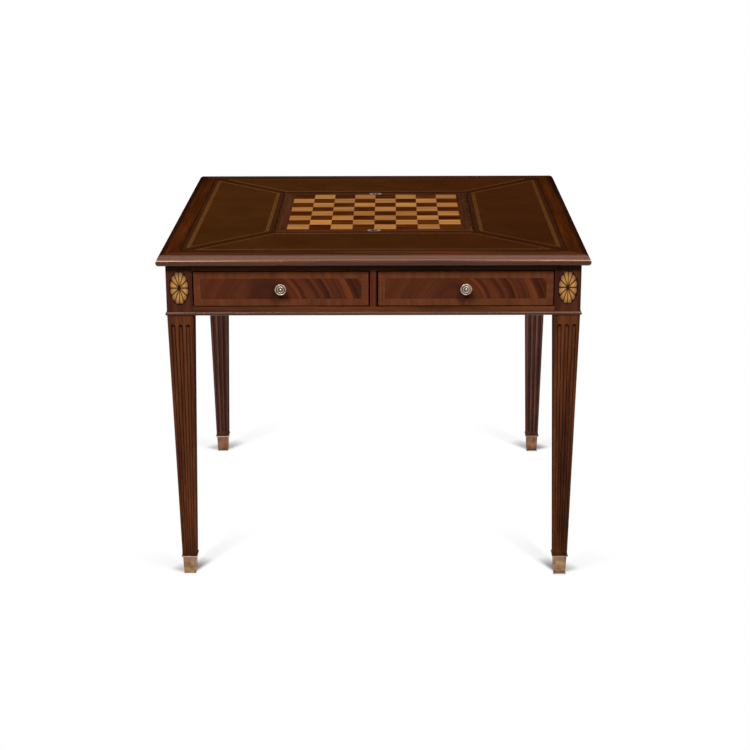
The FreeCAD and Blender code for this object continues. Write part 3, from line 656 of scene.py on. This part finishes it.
# Fan ovals on the posts
def petal_look():
    """Satinwood, sand shaded towards hub, tips and sides, and a little different in each petal."""
    look = Look("patera_satinwood", 0.45, 0.1)
    across = look.minus(look.math("MINIMUM", look.size(look.x), look.size(look.y)), leg_centre)
    across = look.over(across, PATERA_HALF_WIDTH)
    up = look.over(look.minus(look.z, ornament_level), patera_half_height)
    turn = look.times(look.math("ARCTAN2", across, up), PETALS / (2 * math.pi))
    chance = look.dice(look.vector(look.math("FLOOR", turn), 1.0, 0.0))
    side = look.size(look.minus(look.math("FRACT", turn), 0.5))
    streaks = look.noise(look.scaled(look.place, 500, 500, 160), 1.0, 3.0)
    colour = look.ramp(look.length(across, up), (0.12, rgb(158, 106, 46)), (0.34, rgb(198, 142, 70)),
                       (0.62, rgb(212, 156, 88)), (0.82, rgb(184, 130, 76)), (1.0, rgb(140, 93, 54)))
    tone = look.plus(look.times(chance, 0.5), look.times(streaks, 0.5))
    colour = look.tint(colour, look.ramp(tone, (0.1, (0.72, 0.70, 0.66, 1.0)), (0.8, (1.06, 1.04, 1.0, 1.0))))
    look.paint(look.mix(look.band(side, 0.18, 0.44, 0.0, 0.55), colour, rgb(112, 70, 34)))
    return look


dress(petal_look(), "patera_petals")
ground = Look("patera_ground", 0.5, 0.1)
ground_tone = ground.noise(ground.scaled(ground.place, 300, 300, 60), 1.0, 3.0)
ground.paint(ground.ramp(ground_tone, (0.3, rgb(16, 7, 3)), (0.7, rgb(34, 17, 8))))
dress(ground, "patera_grounds")


# Metal
def metal_look(name, dark, base, light, roughness):
    """Aged metal: cloudy colour and gloss with fine pits. Returns the look and its colour."""
    look = Look(name, roughness, 0.5, 1.0)
    blotch = look.noise(look.place, 80.0, 3.0, 0.55)
    fine = look.noise(look.place, 900.0, 3.0)
    tone = look.plus(look.times(blotch, 0.7), look.times(fine, 0.3))
    look.rough(look.plus(look.times(blotch, 0.3), roughness - 0.15))
    look.bump(fine, 0.1, FINE_RELIEF)
    return look, look.ramp(tone, (0.36, dark), (0.5, base), (0.64, light))


def sabot_look():
    """Aged brass, yellower low down, with painted shade: redder at the rear, dark near the floor and on top,
    and a painted highlight on the flange.
    """
    look, colour = metal_look("sabot_brass", rgb(118, 88, 62), rgb(143, 110, 80), rgb(172, 138, 98), 0.30)
    # Painted light and shade: paler and bluer at the front feet, darker and redder at the rear ones
    to_rear = look.band(look.y, -FEET_FADE, FEET_FADE)
    colour = look.tint(colour, look.mix(to_rear, (1.1, 1.12, 1.22, 1.0), (0.9, 0.74, 0.78, 1.0)))
    height = look.band(look.z, 0.0, sabot_top)
    colour = look.tint(colour, look.mix(height, (1.12, 1.04, 0.86, 1.0), (0.90, 0.94, 1.06, 1.0)))
    # Painted shade near the floor, stronger at the rear
    low_painted_shade = look.times(look.band(look.z, 0.022, 0.0), look.band(look.y, -FEET_FADE, FEET_FADE, 0.10, 0.70))
    colour = look.mix(low_painted_shade, colour, rgb(84, 62, 54))
    # Painted highlight along the flange, brighter on the left feet
    flange = look.band(look.z, sabot_top - 0.0040, sabot_top - 0.0034)
    flange_painted_highlight = look.times(flange, look.band(look.x, -FEET_FADE, FEET_FADE, 0.95, 0.40))
    colour = look.mix(flange_painted_highlight, colour, rgb(232, 206, 190))
    # Painted shadow on top, under the leg
    shadowed = look.band(look.z, sabot_top - 0.0020, sabot_top - 0.0012, 0.0, 0.95)
    look.paint(look.mix(shadowed, colour, rgb(48, 26, 18)))
    return look


def knob_look():
    """Pale aged brass, dark in the grooves between rim, ring and boss."""
    look, colour = metal_look("knob_metal", rgb(132, 115, 102), rgb(176, 158, 143), rgb(208, 192, 178), AGED)
    across, up = drawer_place(look)
    reach = look.length(across, look.minus(up, ornament_level - drawer_centre))
    grooves = [look.times(look.band(reach, start, dark), look.band(reach, light, end))
               for start, dark, end, light in KNOB_GROOVES]
    look.paint(look.mix(look.times(look.most(*grooves), 0.8), colour, rgb(52, 43, 35)))
    return look


def pull_look():
    """Dark aged brass, darker still down in the pocket under the ring."""
    look, colour = metal_look("pull_metal", rgb(62, 44, 34), rgb(96, 74, 60), rgb(126, 102, 84), AGED)
    pocket = look.band(look.z, table_top - 0.0006, table_top - 0.0016)
    look.paint(look.mix(look.times(pocket, 0.8), colour, rgb(46, 36, 28)))
    return look


dress(sabot_look(), "sabots")
dress(knob_look(), "drawer_left_knob", "drawer_right_knob")
dress(pull_look(), "pull_cups", "ring_pins")
RING_TONES = (rgb(70, 52, 42), rgb(112, 90, 74), rgb(148, 124, 106))
ring_metal, ring_colour = metal_look("ring_metal", *RING_TONES, AGED)
ring_metal.paint(ring_colour)
dress(ring_metal, "ring_front", "ring_rear")
SCREW_TONES = (rgb(96, 92, 86), rgb(140, 136, 130), rgb(172, 168, 162))
screw_steel, screw_colour = metal_look("screw_steel", *SCREW_TONES, 0.4)
screw_steel.paint(screw_colour)
dress(screw_steel, "sabot_screws", "top_screws", "drawer_left_knob_screw", "drawer_right_knob_screw")


# Gold tooling on the leather
def leaf(middle, angle, length, width):
    """The outline of one small leaf."""
    points = []
    for step in range(LEAF_POINTS):
        turn = 2 * math.pi * step / LEAF_POINTS
        across = width / 2 * math.sin(turn)
        along = length / 2 * math.cos(turn)
        x = along * math.cos(angle) - across * math.sin(angle)
        y = along * math.sin(angle) + across * math.cos(angle)
        points.append((middle[0] + x, middle[1] + y))
    return points


def strip(start, end, width):
    """The outline of a straight line of some width."""
    first, last = Vector(start), Vector(end)
    side = (last - first).normalized().orthogonal() * (width / 2)
    return [first - side, last - side, last + side, first + side]


def tooled_panel():
    """The front panel's gold: two leaf bands between lines, and a broader line beside each mitre."""
    shapes = []
    for centre, width in (OUTER_BAND, INNER_BAND):
        for edge in (centre - width / 2, centre + width / 2):
            reach = edge - MITRE_GAP
            shapes.append(strip((-reach, -edge), (reach, -edge), LINE_WIDTH))
        reach = centre - MITRE_GAP - width / 2
        pitch = width * LEAF_PITCH
        count = int(reach / pitch)
        for step in range(-count, count + 1):
            lean = math.pi / 4 if step % 2 else -math.pi / 4
            shapes.append(leaf((step * pitch, -centre), lean, width * LEAF_LENGTH, width * LEAF_WIDTH))
    outer = OUTER_BAND[0] + OUTER_BAND[1] / 2
    inner = INNER_BAND[0] - INNER_BAND[1] / 2
    for side in (-1, 1):
        start, end = ((side * (edge - MITRE_GAP), -edge) for edge in (outer, inner))
        shapes.append(strip(start, end, MITRE_LINE))
    return shapes


def gold_look():
    """Worn gold: paler to the left, dimmer in the front and rear rows, duller beside the mitres."""
    look = Look("gold_leaf", 0.5, 0.0)
    worn = look.noise(look.place, 260.0, 4.0, 0.65)
    colour = look.ramp(worn, (0.36, rgb(86, 51, 20)), (0.56, rgb(126, 82, 40)), (0.7, rgb(150, 103, 52)))
    colour = look.tint(colour, look.band(look.size(look.y), 0.36, 0.40, 1.0, 0.80))
    ruled = look.ramp(worn, (0.30, rgb(104, 68, 36)), (0.50, rgb(120, 82, 46)), (0.7, rgb(134, 96, 58)))
    ruled = look.tint(ruled, look.band(look.y, -0.35, 0.35, 0.60, 1.0))
    beside_mitre = look.band(from_mitre(look), MITRE_GAP + 0.0035, MITRE_GAP + 0.0025)
    colour = look.mix(beside_mitre, colour, ruled)
    look.paint(look.tint(colour, left_to_right(look, (1.14, 1.22, 1.02, 1.0), (0.96, 0.97, 0.95, 1.0))))
    return look


def gold_tooling():
    """The front panel's outlines, turned onto all four panels, as flat faces just above the leather."""
    points = []
    faces = []
    for turns in range(4):
        spin = Matrix.Rotation(turns * math.pi / 2, 2)
        for shape in tooled_panel():
            faces.append(list(range(len(points), len(points) + len(shape))))
            points.extend((*(spin @ Vector(point)), table_top + GOLD_RISE) for point in shape)
    mesh = bpy.data.meshes.new("gold_tooling")
    mesh.from_pydata(points, [], faces)
    mesh.materials.append(gold_look().material)
    made = bpy.data.objects.new("gold_tooling", mesh)
    bpy.context.scene.collection.objects.link(made)
    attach(made, "frame")


gold_tooling()


# Floor, light and camera
def streak(look, inward, back, angle, length, start, spread):
    """The share of shadow at a floor point, in a streak that leaves a foot at an angle, widens and fades."""
    cosine = look.math("COSINE", angle)
    sine = look.math("SINE", angle)
    run = look.plus(look.times(inward, cosine), look.times(back, sine))
    off = look.size(look.minus(look.times(back, cosine), look.times(inward, sine)))
    width = look.math("MULTIPLY_ADD", run, spread, start)
    inside = look.times(look.band(off, width, look.times(width, 0.25)), look.band(run, -0.004, 0.004))
    core = look.band(run, CORE_FADE[1] * length, CORE_FADE[0])
    tail = look.band(run, TAIL_FADE[1] * length, TAIL_FADE[0], 0.0, TAIL_SHARE)
    return look.times(inside, look.most(core, tail))


def shown_shadow(look, inward, back):
    """Where the floor shows the shadow that falls on it: a long streak inwards and a short one outwards."""
    rear = look.more(look.y, 0.0)
    angle = look.math("MULTIPLY_ADD", rear, REAR_TURN, LONG_ANGLE)
    start = look.math("MULTIPLY_ADD", rear, 0.006, 0.019)
    long = streak(look, inward, back, angle, 1.0, start, 0.10)
    long = look.times(long, look.math("MULTIPLY_ADD", rear, -0.42, 1.0))
    short = streak(look, inward, back, SHORT_ANGLE, 0.60, 0.025, 0.25)
    rear_right = look.times(rear, look.more(look.x, 0.0))
    return look.most(long, look.times(short, look.math("MULTIPLY_ADD", rear_right, 0.25, 0.62)))


def painted_contact_shadow(look, inward, back):
    """A painted contact shadow: a thin dark line on the floor in front of each foot, fainter on the left."""
    ahead = look.minus(look.times(back, -1.0), SABOT_FOOT / 2)
    line = look.times(look.band(ahead, -0.004, -0.001), look.band(ahead, 0.0095, 0.0050))
    line = look.times(line, look.band(look.size(inward), 0.0165, 0.0135))
    return look.times(line, look.band(look.x, 0.0, 0.1, 0.10, 0.80))


def looked_at(look):
    """One for rays from the camera and mirrored or refracted ones, nought for light on other things."""
    path = look.add("ShaderNodeLightPath").outputs
    mirrored = look.most(path["Is Glossy Ray"], path["Is Transmission Ray"])
    return look.most(path["Is Camera Ray"], mirrored)


def floor():
    """A floor that shows the legs' shadows and a painted contact shadow near the feet, and is white
    elsewhere.

    It lights the table from below as a grey floor would.
    """
    corners = [(-FLOOR_REACH, -FLOOR_REACH, 0), (FLOOR_REACH, -FLOOR_REACH, 0),
               (FLOOR_REACH, FLOOR_REACH, 0), (-FLOOR_REACH, FLOOR_REACH, 0)]
    mesh = bpy.data.meshes.new("floor")
    mesh.from_pydata(corners, [], [(0, 1, 2, 3)])
    made = bpy.data.objects.new("floor", mesh)
    made.location.z = -FLOOR_DROP
    bpy.context.scene.collection.objects.link(made)
    look = Look("floor_white", 0.8, 0.0)
    inward = look.times(look.offset(look.x, leg_centre), -1.0)
    back = look.times(look.offset(look.y, leg_centre), look.math("SIGN", look.y))
    # Grey, shown only inside the streaks: it darkens them beyond the shadow that falls there, as painted
    # shade
    lit = look.add("ShaderNodeBsdfDiffuse", rgb(176, 176, 178))
    grey = look.add("ShaderNodeBsdfDiffuse", rgb(104, 104, 106))
    # The white floor, with the painted contact shadow in it
    pale = look.mix(painted_contact_shadow(look, inward, back), WHITE, rgb(120, 100, 90))
    white = look.add("ShaderNodeEmission", pale, 1.0)
    seen = look.add("ShaderNodeMixShader", look.minus(1.0, shown_shadow(look, inward, back)))
    look.join(lit.outputs[0], seen.inputs[1])
    look.join(white.outputs[0], seen.inputs[2])
    both = look.add("ShaderNodeMixShader", looked_at(look))
    look.join(grey.outputs[0], both.inputs[1])
    look.join(seen.outputs[0], both.inputs[2])
    look.tree.nodes.remove(look.shader)
    look.join(both.outputs[0], look.tree.nodes["Material Output"].inputs["Surface"])
    mesh.materials.append(look.material)


def sky():
    """A white background for the camera and for reflections, and a weak fill light for everything else."""
    world = bpy.data.worlds.new("studio")
    bpy.context.scene.world = world
    world.use_nodes = True
    tree = world.node_tree
    tree.nodes.clear()
    path = tree.nodes.new("ShaderNodeLightPath")
    mirrored = tree.nodes.new("ShaderNodeMath")
    seen = tree.nodes.new("ShaderNodeMath")
    mirrored.operation = seen.operation = "MAXIMUM"
    fill = tree.nodes.new("ShaderNodeBackground")
    fill.inputs["Color"].default_value = FILL_COLOUR
    fill.inputs["Strength"].default_value = FILL_STRENGTH
    white = tree.nodes.new("ShaderNodeBackground")
    white.inputs["Color"].default_value = WHITE
    mix = tree.nodes.new("ShaderNodeMixShader")
    output = tree.nodes.new("ShaderNodeOutputWorld")
    links = tree.links
    links.new(path.outputs["Is Glossy Ray"], mirrored.inputs[0])
    links.new(path.outputs["Is Transmission Ray"], mirrored.inputs[1])
    links.new(mirrored.outputs[0], seen.inputs[0])
    links.new(path.outputs["Is Camera Ray"], seen.inputs[1])
    links.new(seen.outputs[0], mix.inputs[0])
    links.new(fill.outputs[0], mix.inputs[1])
    links.new(white.outputs[0], mix.inputs[2])
    links.new(mix.outputs[0], output.inputs["Surface"])


def lamp(name, place, width, height, power):
    """A soft box that faces the table."""
    data = bpy.data.lights.new(name, "AREA")
    data.shape = "RECTANGLE"
    data.size = width
    data.size_y = height
    data.energy = power
    made = bpy.data.objects.new(name, data)
    made.location = place
    towards = Vector(place) - Vector((0, 0, table_top * LAMP_AIM))
    made.rotation_euler = towards.to_track_quat("Z", "Y").to_euler()
    bpy.context.scene.collection.objects.link(made)


def camera():
    """The photograph's own view."""
    yaw, pitch, roll = (math.radians(angle) for angle in CAMERA_ANGLES)
    forward = Vector((math.sin(yaw) * math.cos(pitch), math.cos(yaw) * math.cos(pitch), -math.sin(pitch)))
    level = Vector((math.cos(yaw), -math.sin(yaw), 0))
    down = forward.cross(level)
    right = math.cos(roll) * level + math.sin(roll) * down
    up = math.sin(roll) * level - math.cos(roll) * down
    data = bpy.data.cameras.new("camera")
    data.sensor_width = CAMERA_SENSOR
    data.lens = CAMERA_LENS
    made = bpy.data.objects.new("camera", data)
    made.matrix_world = Matrix((right, up, -forward)).transposed().to_4x4()
    made.location = Vector(CAMERA_PLACE)
    bpy.context.scene.collection.objects.link(made)
    bpy.context.scene.camera = made


floor()
sky()
for settings in LAMPS:
    lamp(*settings)
camera()
bpy.context.scene.view_settings.view_transform = "Standard"
